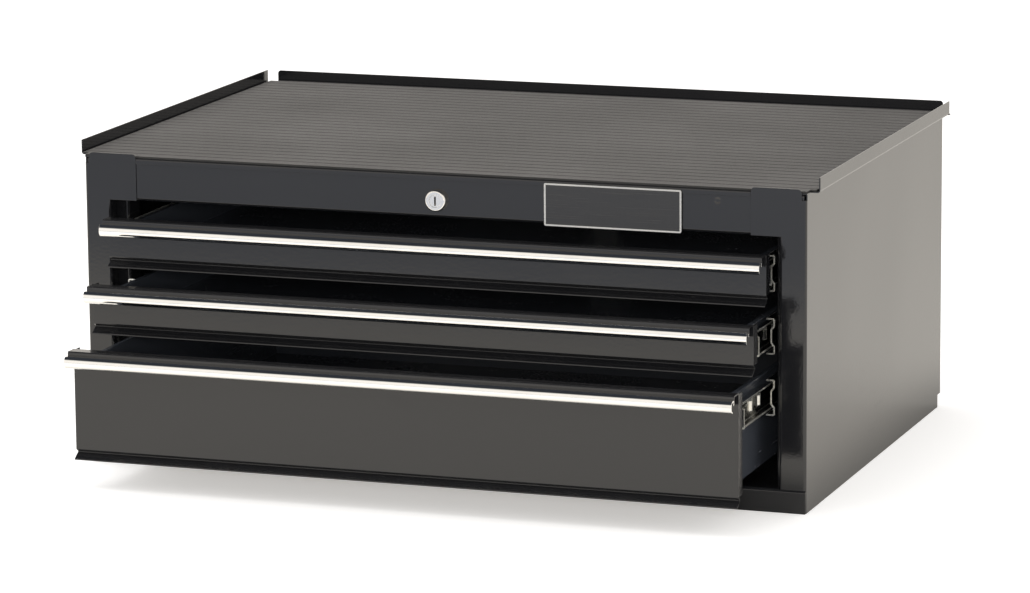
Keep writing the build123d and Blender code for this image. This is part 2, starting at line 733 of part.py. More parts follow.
os.makedirs("parts", exist_ok=True)
for side in ("left", "right"):
    save(side_panel(side), f"side_{side}")
    save(upright(side, upright_start), f"upright_front_{side}")
    save(upright(side, rear_upright_start), f"upright_rear_{side}")
save(back_panel(), "back_panel")
save(back_rivet_group(), "back_rivets")
save(base_pan(), "base_pan")
save(bottom_rail(), "bottom_rail")
save(header_panel(), "header_panel")
save(top_tray(), "top_tray")
save(top_mat(), "top_mat")
save(badge_plate(), "badge_plate")
save(lock_housing(), "lock_housing")
save(lock_nut(), "lock_nut")
save(lock_plug(), "lock_plug")
save(lock_rod(), "lock_rod")
save(lock_rod_bracket(), "lock_rod_bracket")
save(lock_bar(), "lock_bar")
save(lock_bar_guides(), "lock_bar_guides")
for i in range(3):
    number = i + 1
    save(drawer_box(i), f"drawer_{number}_box")
    save(drawer_front(i), f"drawer_{number}_front")
    save(drawer_trim(i), f"drawer_{number}_trim")
    save(drawer_catch(i), f"drawer_{number}_catch")
    save(balls(i), f"slide_{number}_balls")
    for side in ("left", "right"):
        save(case_member(i, side), f"slide_{number}_{side}_case_member")
        save(runner(i, side), f"slide_{number}_{side}_runner")
        save(cage(i, side), f"slide_{number}_{side}_cage")
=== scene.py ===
# %% [markdown]
# # A machinist tool chest
# The chest is a case of folded black sheet steel with three drawers that stand open in steps, so
# that their slides show. Its shape comes from a CAD model that is already in place. This script
# dresses that model: it gives every piece a finish, makes the ribbed mat, and sets up a small
# white photo studio around it.

# %% Load the frame
import math

import bpy
from mathutils import Matrix, Vector


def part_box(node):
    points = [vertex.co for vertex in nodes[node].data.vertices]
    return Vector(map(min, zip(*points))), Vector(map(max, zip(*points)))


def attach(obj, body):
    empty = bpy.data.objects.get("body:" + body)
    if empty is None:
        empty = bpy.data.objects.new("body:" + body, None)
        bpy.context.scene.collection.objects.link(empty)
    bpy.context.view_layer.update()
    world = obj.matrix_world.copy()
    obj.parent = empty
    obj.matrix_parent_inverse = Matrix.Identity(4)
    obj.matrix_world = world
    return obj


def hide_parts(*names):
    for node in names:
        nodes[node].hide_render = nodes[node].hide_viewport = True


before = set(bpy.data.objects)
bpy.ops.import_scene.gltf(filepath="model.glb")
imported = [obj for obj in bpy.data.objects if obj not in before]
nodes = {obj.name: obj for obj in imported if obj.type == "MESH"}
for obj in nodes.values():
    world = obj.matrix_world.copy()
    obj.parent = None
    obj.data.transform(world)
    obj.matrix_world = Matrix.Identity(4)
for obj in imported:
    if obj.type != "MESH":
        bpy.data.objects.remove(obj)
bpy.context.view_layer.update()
print("CAD pieces:", len(nodes))

# %% [markdown]
# # Small helpers for node trees
# Shader trees and geometry trees are built in the same way: add a node, set its options, then fill
# each of its sockets with a number or with a link. One helper does all three, so that each finish
# below reads like a recipe. An underscore in a name stands for a space, and _0 for the first socket.


# %% Node helpers
def add(tree, kind, options=None, **sockets):
    """Adds a node, sets its options, and fills its sockets with values or links."""
    made = tree.nodes.new(kind)
    for name, value in (options or {}).items():
        setattr(made, name, value)
    for name, value in sockets.items():
        key = int(name[1:]) if name.startswith("_") else name.replace("_", " ")
        if isinstance(value, bpy.types.NodeSocket):
            tree.links.new(value, made.inputs[key])
        else:
            made.inputs[key].default_value = value
    return made


def calc(tree, operation, a, b=0.0, c=0.0, clamp=False):
    """One sum on values that change over the surface."""
    options = {"operation": operation, "use_clamp": clamp}
    return add(tree, "ShaderNodeMath", options, _0=a, _1=b, _2=c).outputs[0]


def remap(tree, value, low, high, to_low=0.0, to_high=1.0):
    """Stretches a range of values smoothly over another."""
    made = add(tree, "ShaderNodeMapRange", {"interpolation_type": "SMOOTHSTEP"}, _0=value, _1=low, _2=high)
    made.inputs[3].default_value = to_low
    made.inputs[4].default_value = to_high
    return made.outputs[0]


def blend(tree, factor, a, b):
    """Mixes two colours by a mask."""
    made = add(tree, "ShaderNodeMix", {"data_type": "RGBA"})
    made.clamp_factor = True
    for key, value in ((0, factor), (6, a), (7, b)):
        if isinstance(value, bpy.types.NodeSocket):
            tree.links.new(value, made.inputs[key])
        else:
            made.inputs[key].default_value = value if key == 0 else (*value, 1.0)
    return made.outputs[2]


def group(name, inputs, outputs):
    """An empty shader group with named sockets; returns it with its input and output nodes."""
    tree = bpy.data.node_groups.new(name, "ShaderNodeTree")
    for label, kind, start in inputs:
        socket = tree.interface.new_socket(label, in_out="INPUT", socket_type=kind)
        if start is not None:
            socket.default_value = start
    for label, kind in outputs:
        tree.interface.new_socket(label, in_out="OUTPUT", socket_type=kind)
    return tree, tree.nodes.new("NodeGroupInput"), tree.nodes.new("NodeGroupOutput")


def use(tree, made_group, **sockets):
    """Places a shader group in a material."""
    return add(tree, "ShaderNodeGroup", {"node_tree": made_group}, **sockets)


FLOAT = "NodeSocketFloat"
VECTOR = "NodeSocketVector"
noise_low, noise_high = 0.3, 0.75       # nearly all values of a noise lie between these
print("helpers ready")

# %% [markdown]
# # Effects that several finishes share
# Powder coat is never a perfect mirror. It flows out with a faint ripple, called orange peel; hands
# and cloths leave hazy patches that are a little duller; and dust settles on what faces up. Each of
# these is a group with its own sizes, placed in every finish that needs it.


# %% Orange peel
sway_scale = 7.0
sway_height = 12.0              # against the fine ripple's height of 1
peel_group, start, end = group(
    "Orange Peel",
    [("Vector", VECTOR, None), ("Ripples", FLOAT, 400.0), ("Waviness", FLOAT, 1.0)],
    [("Height", FLOAT)],
)
where = start.outputs["Vector"]
ripple = add(peel_group, "ShaderNodeTexNoise", Vector=where, Scale=start.outputs["Ripples"], Detail=2.0)
sway = add(peel_group, "ShaderNodeTexNoise", Vector=where, Scale=sway_scale, Detail=0.0)
slow = calc(peel_group, "MULTIPLY", sway.outputs[0], start.outputs["Waviness"])
total = calc(peel_group, "MULTIPLY_ADD", slow, sway_height, ripple.outputs[0])
peel_group.links.new(total, end.inputs["Height"])
print("made", peel_group.name)

# %% Haze left by hands and cloths
wipe_stretch = (3.0, 3.0, 60.0)
wipe_slant = (0.1, 0.3, 0.0)
haze_group, start, end = group(
    "Handled Haze", [("Vector", VECTOR, None), ("Patch Scale", FLOAT, 9.0)], [("Haze", FLOAT)]
)
where = start.outputs["Vector"]
patches = add(haze_group, "ShaderNodeTexNoise", Vector=where, Scale=start.outputs["Patch Scale"],
              Detail=5.0, Roughness=0.62, Distortion=0.6)
wipes = add(haze_group, "ShaderNodeMapping", Vector=where, Scale=wipe_stretch, Rotation=wipe_slant)
streaks = add(haze_group, "ShaderNodeTexNoise", Vector=wipes.outputs[0], Scale=6.0, Detail=4.0,
              Roughness=0.7)
both = calc(haze_group, "MULTIPLY", remap(haze_group, patches.outputs[0], 0.42, 0.75),
            remap(haze_group, streaks.outputs[0], noise_low, noise_high))
haze_group.links.new(both, end.inputs["Haze"])
print("made", haze_group.name)

# %% Dust on what faces up
dust_group, start, end = group(
    "Settled Dust", [("Vector", VECTOR, None), ("Amount", FLOAT, 0.3)], [("Dust", FLOAT)]
)
where = start.outputs["Vector"]
facing = add(dust_group, "ShaderNodeNewGeometry")
upward = add(dust_group, "ShaderNodeSeparateXYZ", Vector=facing.outputs["Normal"])
level = remap(dust_group, upward.outputs["Z"], 0.35, 0.95)
specks = add(dust_group, "ShaderNodeTexNoise", Vector=where, Scale=520.0, Detail=3.0, Roughness=0.7)
drift = add(dust_group, "ShaderNodeTexNoise", Vector=where, Scale=14.0, Detail=3.0)
fine = calc(dust_group, "MULTIPLY", remap(dust_group, specks.outputs[0], 0.5, 0.72),
            remap(dust_group, drift.outputs[0], 0.3, 0.8))
lying = calc(dust_group, "MULTIPLY", fine, level)
settled = calc(dust_group, "MULTIPLY", lying, start.outputs["Amount"], clamp=True)
dust_group.links.new(settled, end.inputs["Dust"])
print("made", dust_group.name)

# %% [markdown]
# # Drawn and brushed metal
# A trim that is drawn through a die keeps fine lines along its length. Noise that is stretched about
# a hundred times in one direction gives the same lines. The stretch is an input, so that the same
# group serves pieces whose lines run along X, Y or Z.

# %% Fine lines along a length
grain_group, start, end = group(
    "Drawn Lines", [("Vector", VECTOR, None), ("Stretch", VECTOR, (8.0, 900.0, 900.0))], [("Lines", FLOAT)]
)
stretched = add(grain_group, "ShaderNodeVectorMath", {"operation": "MULTIPLY"}, _0=start.outputs["Vector"],
                _1=start.outputs["Stretch"])
lines = add(grain_group, "ShaderNodeTexNoise", Vector=stretched.outputs[0], Scale=1.0, Detail=3.0,
            Roughness=0.6)
grain_group.links.new(lines.outputs[0], end.inputs["Lines"])
print("made", grain_group.name)

# %% [markdown]
# # Edges
# No real edge is sharp. A fold or a cut edge is rounded a little, so it catches a thin line of light,
# and on plated steel the cut edge is painted pale, partly as frost and partly as a painted highlight.
# Both come from one node, which takes the normal over a small radius. Where that differs from the
# face's own normal, there is an edge.

# %% Rounded edges
edge_group, start, end = group(
    "Rounded Edges", [("Radius", FLOAT, 0.0004)], [("Mask", FLOAT), ("Normal", VECTOR)]
)
own = add(edge_group, "ShaderNodeNewGeometry").outputs["Normal"]
rounded = add(edge_group, "ShaderNodeBevel", {"samples": 6}, Radius=start.outputs["Radius"])
alike = add(edge_group, "ShaderNodeVectorMath", {"operation": "DOT_PRODUCT"}, _0=own, _1=rounded.outputs[0])
edge_group.links.new(remap(edge_group, alike.outputs["Value"], 0.99, 0.9), end.inputs["Mask"])
edge_group.links.new(rounded.outputs[0], end.inputs["Normal"])
print("made", edge_group.name)


# %% A finish to start from
def finish(name, base, rough, metallic=0.0, ior=1.5):
    """A material with one Principled shader and the object's own coordinates."""
    material = bpy.data.materials.new(name)
    material.use_nodes = True
    tree = material.node_tree
    shader = tree.nodes["Principled BSDF"]
    shader.inputs["Base Color"].default_value = (*base, 1.0)
    shader.inputs["Roughness"].default_value = rough
    shader.inputs["Metallic"].default_value = metallic
    shader.inputs["IOR"].default_value = ior
    material.diffuse_color = (*base, 1.0)
    place = add(tree, "ShaderNodeTexCoord").outputs["Object"]
    return material, tree, shader, place


def bump(tree, shader, height, distance, edges=None):
    """Turns a height into small relief on the shader, over edges that are rounded a little."""
    edges = edges or use(tree, edge_group)
    made = add(tree, "ShaderNodeBump", Height=height, Distance=distance, Normal=edges.outputs["Normal"])
    tree.links.new(made.outputs[0], shader.inputs["Normal"])


# %% [markdown]
# # Black powder coat
# The case and the drawers are sprayed with black powder and baked. The coat is nearly black itself,
# so what the eye sees is almost all reflection: the white floor in the fronts, a dark room in what
# slants up. That is why the ripple and the haze matter more here than the colour does.

# %% Black powder coat
black = (0.0105, 0.0105, 0.0115)
# The drawer boxes are painted a lighter blue-grey than the black coat: painted light, standing in for light
# that reaches into the drawers.
inside_painted_light_grey = (0.055, 0.06, 0.071)
dust_colour = (0.16, 0.15, 0.14)
dust_dulling = 0.5              # roughness that full dust adds
peel_depth = 0.00006
weld_radius = 0.0034
weld_floor = 0.0012             # radius of a weld mark's flat bottom
weld_depth = 4.0                # against the fine ripple's height of 1
weld_spots = ((-0.2995, 0.2686), (0.258, 0.2718))


def weld_marks(tree, place, spots):
    """Shallow round hollows where a stud was welded on from behind; each spot is an x and a z."""
    split = add(tree, "ShaderNodeSeparateXYZ", Vector=place)
    depth = 0.0
    for x, z in spots:
        away = add(tree, "ShaderNodeCombineXYZ", X=calc(tree, "SUBTRACT", split.outputs["X"], x),
                   Z=calc(tree, "SUBTRACT", split.outputs["Z"], z))
        distance = add(tree, "ShaderNodeVectorMath", {"operation": "LENGTH"}, _0=away.outputs[0])
        hollow = remap(tree, distance.outputs["Value"], weld_radius, weld_floor)
        depth = calc(tree, "ADD", hollow, depth)
    return depth


def powder_coat(name, clean, hazy, waviness, dust, base=black, spots=()):
    """Black coat; clean and hazy are the roughness of untouched and of handled paint."""
    material, tree, shader, place = finish(name, base, clean, ior=1.56)
    settled = use(tree, dust_group, Vector=place, Amount=dust).outputs["Dust"]
    haze = use(tree, haze_group, Vector=place).outputs["Haze"]
    tree.links.new(blend(tree, settled, base, dust_colour), shader.inputs["Base Color"])
    dulled = remap(tree, haze, 0.0, 1.0, clean, hazy)
    tree.links.new(calc(tree, "MULTIPLY_ADD", settled, dust_dulling, dulled), shader.inputs["Roughness"])
    height = use(tree, peel_group, Vector=place, Waviness=waviness).outputs["Height"]
    if spots:
        height = calc(tree, "MULTIPLY_ADD", weld_marks(tree, place, spots), -weld_depth, height)
    bump(tree, shader, height, peel_depth)
    return material


case_coat = powder_coat("Cabinet coat", clean=0.09, hazy=0.2, waviness=1.0, dust=0.25)
front_coat = powder_coat("Drawer front coat", clean=0.09, hazy=0.24, waviness=0.6, dust=0.2)
header_coat = powder_coat("Header coat", clean=0.09, hazy=0.2, waviness=0.8, dust=0.25, spots=weld_spots)
# The inside coat is a paler copy of the black coat; its grey is painted light.
inside_coat_painted_light = powder_coat("Inside coat with painted light", clean=0.2, hazy=0.34, waviness=0.5, dust=0.35, base=inside_painted_light_grey)
print("coats:", case_coat.name, "/", front_coat.name, "/", header_coat.name, "/", inside_coat_painted_light.name)

# %% [markdown]
# # Bright trim
# Each pull carries a bright rolled trim. It is a curved mirror, so it squeezes the whole studio into
# a few millimetres: the floor becomes a white band and the dark room a black line above it.

# %% Bright trim
trim_metal, tree, shader, place = finish("Bright trim", base=(0.86, 0.86, 0.85), rough=0.07, metallic=1.0)
drawn = use(tree, grain_group, Vector=place, Stretch=(6.0, 1400.0, 1400.0)).outputs["Lines"]
tree.links.new(remap(tree, drawn, noise_low, noise_high, 0.04, 0.13), shader.inputs["Roughness"])
haze = use(tree, haze_group, Vector=place, Patch_Scale=16.0).outputs["Haze"]
tree.links.new(blend(tree, haze, (0.87, 0.87, 0.86), (0.74, 0.74, 0.73)), shader.inputs["Base Color"])
bump(tree, shader, drawn, distance=0.000004)
print("made", trim_metal.name)


# %% [markdown]
# # Zinc, chrome and steel
# Slides and brackets are zinc plated: bright, a little yellow or blue from place to place, and dull
# where hands and tools have rubbed. Their cut edges are painted pale and matt, partly as frost and
# partly as a painted highlight. The lock is chrome and the balls are polished steel.

# %% Zinc plate
def zinc_plate(name, stretch, rough, edge_reach=0.0007):
    """Bright zinc with rolling lines, a faint change of tint, and cut edges painted pale: frost and a
    painted highlight.
    """
    material, tree, shader, place = finish(name, base=(0.62, 0.62, 0.6), rough=rough, metallic=1.0)
    frost_dulling, frost_bareness = 0.2, 0.7
    edges = use(tree, edge_group, Radius=edge_reach)
    frost_and_edge_highlight = edges.outputs["Mask"]
    rolled = use(tree, grain_group, Vector=place, Stretch=stretch).outputs["Lines"]
    cloud = add(tree, "ShaderNodeTexNoise", Vector=place, Scale=38.0, Detail=4.0, Roughness=0.6)
    tint = blend(tree, remap(tree, cloud.outputs[0], 0.35, 0.7), (0.66, 0.65, 0.6), (0.55, 0.58, 0.62))
    haze = use(tree, haze_group, Vector=place, Patch_Scale=30.0).outputs["Haze"]
    worn = blend(tree, haze, tint, (0.42, 0.41, 0.39))
    # Cut edges are painted pale and less metallic: partly frost, partly a painted highlight where the edges
    # would catch light.
    tree.links.new(blend(tree, frost_and_edge_highlight, worn, (0.9, 0.87, 0.78)), shader.inputs["Base Color"])
    flat = remap(tree, rolled, noise_low, noise_high, rough - 0.06, rough + 0.1)
    tree.links.new(calc(tree, "MULTIPLY_ADD", frost_and_edge_highlight, frost_dulling, flat), shader.inputs["Roughness"])
    tree.links.new(calc(tree, "MULTIPLY_ADD", frost_and_edge_highlight, -frost_bareness, 1.0), shader.inputs["Metallic"])
    bump(tree, shader, rolled, distance=0.000012, edges=edges)
    return material


slide_zinc = zinc_plate("Slide zinc", stretch=(900.0, 10.0, 900.0), rough=0.18)
bracket_zinc = zinc_plate("Bracket zinc", stretch=(500.0, 500.0, 14.0), rough=0.32)
print("made", slide_zinc.name, "and", bracket_zinc.name)


# %% Chrome and polished steel
def polished(name, base, low, high, scale):
    """Polished metal with faint swirls from the buffing wheel."""
    material, tree, shader, place = finish(name, base, low, metallic=1.0)
    swirl = add(tree, "ShaderNodeTexNoise", Vector=place, Scale=scale, Detail=4.0, Distortion=1.5)
    tree.links.new(remap(tree, swirl.outputs[0], 0.35, 0.75, low, high), shader.inputs["Roughness"])
    stain = add(tree, "ShaderNodeTexNoise", Vector=place, Scale=scale * 0.2, Detail=3.0)
    stained = tuple(0.8 * v for v in base)
    colour = blend(tree, remap(tree, stain.outputs[0], 0.5, 0.8), base, stained)
    tree.links.new(colour, shader.inputs["Base Color"])
    bump(tree, shader, swirl.outputs[0], distance=0.000006)
    return material


lock_chrome = polished("Lock chrome", base=(0.8, 0.79, 0.77), low=0.08, high=0.22, scale=420.0)
ball_steel = polished("Ball steel", base=(0.66, 0.66, 0.66), low=0.06, high=0.16, scale=900.0)
print("made", lock_chrome.name, "and", ball_steel.name)

# %% [markdown]
# # Badge plate
# The plate on the header is left without words: a dark enamelled field inside a narrow bright rim.
# A mask that measures the distance to the plate's edge tells the shader where the rim is, and the
# same mask raises it, so that no extra faces are needed.

# %% Badge plate
badge_low, badge_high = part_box("badge_plate")
badge_centre = [(a + b) / 2 for a, b in zip(badge_low, badge_high)]
badge_half = [(b - a) / 2 for a, b in zip(badge_low, badge_high)]
rim_width = 0.0016
rim_slope = 0.0002              # the rim rises over this far to either side of its line
rim_rise = 0.0002
badge_finish, tree, shader, place = finish("Badge enamel", base=(0.02, 0.02, 0.02), rough=0.2)
split = add(tree, "ShaderNodeSeparateXYZ", Vector=place)
across = calc(tree, "ABSOLUTE", calc(tree, "SUBTRACT", split.outputs["X"], badge_centre[0]))
upright = calc(tree, "ABSOLUTE", calc(tree, "SUBTRACT", split.outputs["Z"], badge_centre[2]))
from_side = calc(tree, "SUBTRACT", badge_half[0], across)
from_top = calc(tree, "SUBTRACT", badge_half[2], upright)
to_edge = calc(tree, "MINIMUM", from_side, from_top)
rim = remap(tree, to_edge, rim_width + rim_slope, rim_width - rim_slope)
brushed = use(tree, grain_group, Vector=place, Stretch=(14.0, 700.0, 900.0)).outputs["Lines"]
silver = blend(tree, brushed, (0.5, 0.49, 0.46), (0.7, 0.69, 0.66))
field = add(tree, "ShaderNodeTexNoise", Vector=place, Scale=900.0, Detail=2.0)
enamel = blend(tree, field.outputs[0], (0.016, 0.016, 0.017), (0.026, 0.026, 0.027))
tree.links.new(blend(tree, rim, enamel, silver), shader.inputs["Base Color"])
tree.links.new(rim, shader.inputs["Metallic"])
tree.links.new(remap(tree, brushed, noise_low, noise_high, 0.16, 0.3), shader.inputs["Roughness"])
bump(tree, shader, rim, rim_rise)
print("badge plate in mm:", [round(2000 * v, 1) for v in badge_half])

# %% [markdown]
# # Ribbed mat
# The mat in the tray is an extruded rubber sheet. Its ribs run from side to side, in bands of four
# with a wider groove between the bands. A rule like that is a job for Geometry Nodes: one rib is
# swept along a line, a point for each rib is placed along the depth, and the tree copies the rib to
# every point. Sizes are inputs, so that the pitch can be changed in one place.

# %% Mat rubber
mat_top = 0.2838
# heights over which the rubber darkens into painted shade below the rib tops
groove_shade_from, groove_shade_at = mat_top - 0.0001, mat_top - 0.0007
rubber, tree, shader, place = finish("Mat rubber", base=(0.15, 0.142, 0.134), rough=0.5)
crumbs = add(tree, "ShaderNodeTexNoise", Vector=place, Scale=1500.0, Detail=2.0)
cloud = add(tree, "ShaderNodeTexNoise", Vector=place, Scale=5.0, Detail=4.0, Roughness=0.6)
settled = use(tree, dust_group, Vector=place, Amount=0.35).outputs["Dust"]
worn = blend(tree, remap(tree, cloud.outputs[0], 0.3, 0.7), (0.125, 0.118, 0.11), (0.155, 0.146, 0.137))
# The rubber is painted near black below the rib tops: painted shade in the grooves between the ribs.
height = add(tree, "ShaderNodeSeparateXYZ", Vector=place).outputs["Z"]
painted_groove_shade = remap(tree, height, groove_shade_from, groove_shade_at)
rubber_with_groove_shade = blend(tree, painted_groove_shade, worn, (0.02, 0.019, 0.018))
tree.links.new(blend(tree, settled, rubber_with_groove_shade, dust_colour), shader.inputs["Base Color"])
tree.links.new(remap(tree, crumbs.outputs[0], 0.3, 0.7, 0.42, 0.6), shader.inputs["Roughness"])
bump(tree, shader, crumbs.outputs[0], distance=0.00004)
print("made", rubber.name)

# %% Rib rule
rib_tree = bpy.data.node_groups.new("Ribbed Mat", "GeometryNodeTree")
sizes = {
    "Half Width": 0.343, "Front": -0.2164, "Back": 0.2265, "Top": mat_top, "Thickness": 0.002,
    "Rib Radius": 0.0013, "Pitch": 0.0034, "Band Gap": 0.0020, "Nose Half Width": 0.338, "Nose": -0.2286,
}
for label in sizes:
    rib_tree.interface.new_socket(label, in_out="INPUT", socket_type=FLOAT)
for label, kind in (("Band", "NodeSocketInt"), ("Ribs", "NodeSocketInt"), ("Rubber", "NodeSocketMaterial")):
    rib_tree.interface.new_socket(label, in_out="INPUT", socket_type=kind)
rib_tree.interface.new_socket("Mat", in_out="OUTPUT", socket_type="NodeSocketGeometry")
given = rib_tree.nodes.new("NodeGroupInput").outputs
result = rib_tree.nodes.new("NodeGroupOutput")
rib_top = calc(rib_tree, "SUBTRACT", given["Top"], given["Rib Radius"])
left = calc(rib_tree, "MULTIPLY", given["Half Width"], -1.0)
left_end = add(rib_tree, "ShaderNodeCombineXYZ", X=left, Z=rib_top)
right_end = add(rib_tree, "ShaderNodeCombineXYZ", X=given["Half Width"], Z=rib_top)
line = add(rib_tree, "GeometryNodeCurvePrimitiveLine", Start=left_end.outputs[0], End=right_end.outputs[0])
profile = add(rib_tree, "GeometryNodeCurvePrimitiveCircle", Resolution=10, Radius=given["Rib Radius"])
rib = add(rib_tree, "GeometryNodeCurveToMesh", Curve=line.outputs[0], Profile_Curve=profile.outputs[0],
          Fill_Caps=True)
points = add(rib_tree, "GeometryNodeMeshLine", Count=given["Ribs"])
index = add(rib_tree, "GeometryNodeInputIndex").outputs[0]
band = calc(rib_tree, "FLOOR", calc(rib_tree, "DIVIDE", index, given["Band"]))
gaps = calc(rib_tree, "MULTIPLY", band, given["Band Gap"])
along = calc(rib_tree, "MULTIPLY_ADD", index, given["Pitch"], gaps)
rib_width = calc(rib_tree, "MULTIPLY", given["Rib Radius"], 2.0)
first = calc(rib_tree, "ADD", given["Nose"], rib_width)
depth = calc(rib_tree, "ADD", along, first)
in_nose = calc(rib_tree, "LESS_THAN", depth, given["Front"])
narrow = calc(rib_tree, "DIVIDE", given["Nose Half Width"], given["Half Width"])
shorter = calc(rib_tree, "SUBTRACT", narrow, 1.0)
length = calc(rib_tree, "MULTIPLY_ADD", in_nose, shorter, 1.0)
rib_scale = add(rib_tree, "ShaderNodeCombineXYZ", X=length, Y=1.0, Z=1.0)
spot = add(rib_tree, "ShaderNodeCombineXYZ", Y=depth)
placed = add(rib_tree, "GeometryNodeSetPosition", Geometry=points.outputs[0], Position=spot.outputs[0])
copies = add(rib_tree, "GeometryNodeInstanceOnPoints", Points=placed.outputs[0], Instance=rib.outputs[0],
             Scale=rib_scale.outputs[0])
real = add(rib_tree, "GeometryNodeRealizeInstances", Geometry=copies.outputs[0])
print("rib rule:", len(rib_tree.nodes), "nodes")

# %% [markdown]
# The ribs need a sheet to stand on. It is two blocks, because the mat is narrower in front, between
# the ears of the posts. Both blocks use the same sizes as the ribs.


# %% Sheet under the ribs
def sheet_block(half_width, front, back):
    """A block of the mat's sheet, from two depths and a half width."""
    below = calc(rib_tree, "SUBTRACT", given["Top"], given["Thickness"])
    wide = calc(rib_tree, "MULTIPLY", half_width, 2.0)
    deep = calc(rib_tree, "SUBTRACT", back, front)
    tall = calc(rib_tree, "SUBTRACT", rib_top, below)
    size = add(rib_tree, "ShaderNodeCombineXYZ", X=wide, Y=deep, Z=tall)
    middle_y = calc(rib_tree, "MULTIPLY", calc(rib_tree, "ADD", front, back), 0.5)
    middle_z = calc(rib_tree, "MULTIPLY", calc(rib_tree, "ADD", rib_top, below), 0.5)
    middle = add(rib_tree, "ShaderNodeCombineXYZ", Y=middle_y, Z=middle_z)
    cube = add(rib_tree, "GeometryNodeMeshCube", Size=size.outputs[0])
    return add(rib_tree, "GeometryNodeTransform", Geometry=cube.outputs[0], Translation=middle.outputs[0])


pad = sheet_block(given["Half Width"], given["Front"], given["Back"])
nose = sheet_block(given["Nose Half Width"], given["Nose"], given["Front"])
joined = add(rib_tree, "GeometryNodeJoinGeometry")
for part in (nose, pad, real):
    rib_tree.links.new(part.outputs[0], joined.inputs[0])
painted = add(rib_tree, "GeometryNodeSetMaterial", Geometry=joined.outputs[0], Material=given["Rubber"])
rib_tree.links.new(painted.outputs[0], result.inputs["Mat"])
print("blocks added")


# %% Build the mat
def run_tree(name, tree, values):
    """Runs a geometry tree on an empty mesh and returns the result as a plain mesh object."""
    holder = bpy.data.objects.new(name + " holder", bpy.data.meshes.new(name + " start"))
    bpy.context.scene.collection.objects.link(holder)
    modifier = holder.modifiers.new("Rule", "NODES")
    modifier.node_group = tree
    for item in tree.interface.items_tree:
        if item.in_out == "INPUT" and item.name in values:
            modifier[item.identifier] = values[item.name]
    graph = bpy.context.evaluated_depsgraph_get()
    mesh = bpy.data.meshes.new_from_object(holder.evaluated_get(graph))
    mesh.name = name
    made = bpy.data.objects.new(name, mesh)
    bpy.context.scene.collection.objects.link(made)
    bpy.data.objects.remove(holder)
    return made


ribs_in_band = 4
bands = 29
rule = dict(sizes, Band=ribs_in_band, Ribs=ribs_in_band * bands, Rubber=rubber)
mat = run_tree("ribbed_mat", rib_tree, rule)
for face in mat.data.polygons:
    face.use_smooth = len(face.vertices) == 4 and abs(face.normal.x) < 0.5
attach(mat, "case")
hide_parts("top_mat")
print("mat faces:", len(mat.data.polygons))

# %% [markdown]
# # Dress the CAD pieces
# Each CAD piece takes one finish. Names say what a piece is, so the choice can be made from the end
# of the name, with a short list for the few that differ.

# %% Dress the CAD pieces
endings = {
    "_front": front_coat, "_box": inside_coat_painted_light, "_trim": trim_metal, "_catch": bracket_zinc,
    "_case_member": slide_zinc, "_runner": slide_zinc, "_cage": slide_zinc, "_balls": ball_steel,
}
single = {
    "top_mat": rubber, "header_panel": header_coat, "badge_plate": badge_finish,
    "lock_housing": lock_chrome, "lock_plug": lock_chrome, "lock_nut": bracket_zinc,
    "lock_rod": ball_steel, "lock_rod_bracket": bracket_zinc, "lock_bar": bracket_zinc,
    "lock_bar_guides": bracket_zinc, "back_rivets": bracket_zinc,
}
for name, piece in nodes.items():
    chosen = single.get(name, case_coat)
    for ending, material in endings.items():
        if name.startswith(("drawer_", "slide_")) and name.endswith(ending):
            chosen = material
    piece.data.materials.clear()
    piece.data.materials.append(chosen)
print("dressed", len(nodes), "pieces")

# %% [markdown]
# # Studio
# The photograph is a plain product shot: a white floor that runs out of sight, soft light from all
# round, one large soft lamp overhead and a small one beside the camera. Black gloss shows its
# surroundings, so mirrors get a room of their own. It is white at the horizon and dark overhead, and
# the dark begins lower behind the chest than in front of it. Its floor has a darker strip one to three
# metres in front, and its glow is cut off under, behind and close beside the chest: a painted shadow of
# the chest in what the mirrors show. The lamps are hidden from mirrors, so that no bright square shows
# in the fronts.

# %% Floor
paper_white = (0.9, 0.9, 0.9)
strip_near, strip_far = (-1.3, -0.9), (-2.4, -3.2)      # depths where the darker strip fades out
base_half_width, base_front = 0.34, -0.34
painted_shadow_fade = (-0.03, 0.07)               # distances from the base where the mirrored glow comes up
mirrored_glow, seen_glow = 0.4, 0.42
bpy.ops.mesh.primitive_plane_add(size=40.0, location=(0.0, 0.0, 0.0))
floor = bpy.context.object
floor.name = "Studio floor"
paper = bpy.data.materials.new("Studio paper")
paper.use_nodes = True
tree = paper.node_tree
shader = tree.nodes["Principled BSDF"]
shader.inputs["Base Color"].default_value = (*paper_white, 1.0)
shader.inputs["Roughness"].default_value = 0.9
shader.inputs["Specular IOR Level"].default_value = 0.0
path = add(tree, "ShaderNodeLightPath")
in_mirror = path.outputs["Is Glossy Ray"]
spot = add(tree, "ShaderNodeSeparateXYZ", Vector=add(tree, "ShaderNodeTexCoord").outputs["Object"])
near = remap(tree, spot.outputs["Y"], *strip_near)
bright = calc(tree, "MAXIMUM", near, remap(tree, spot.outputs["Y"], *strip_far))
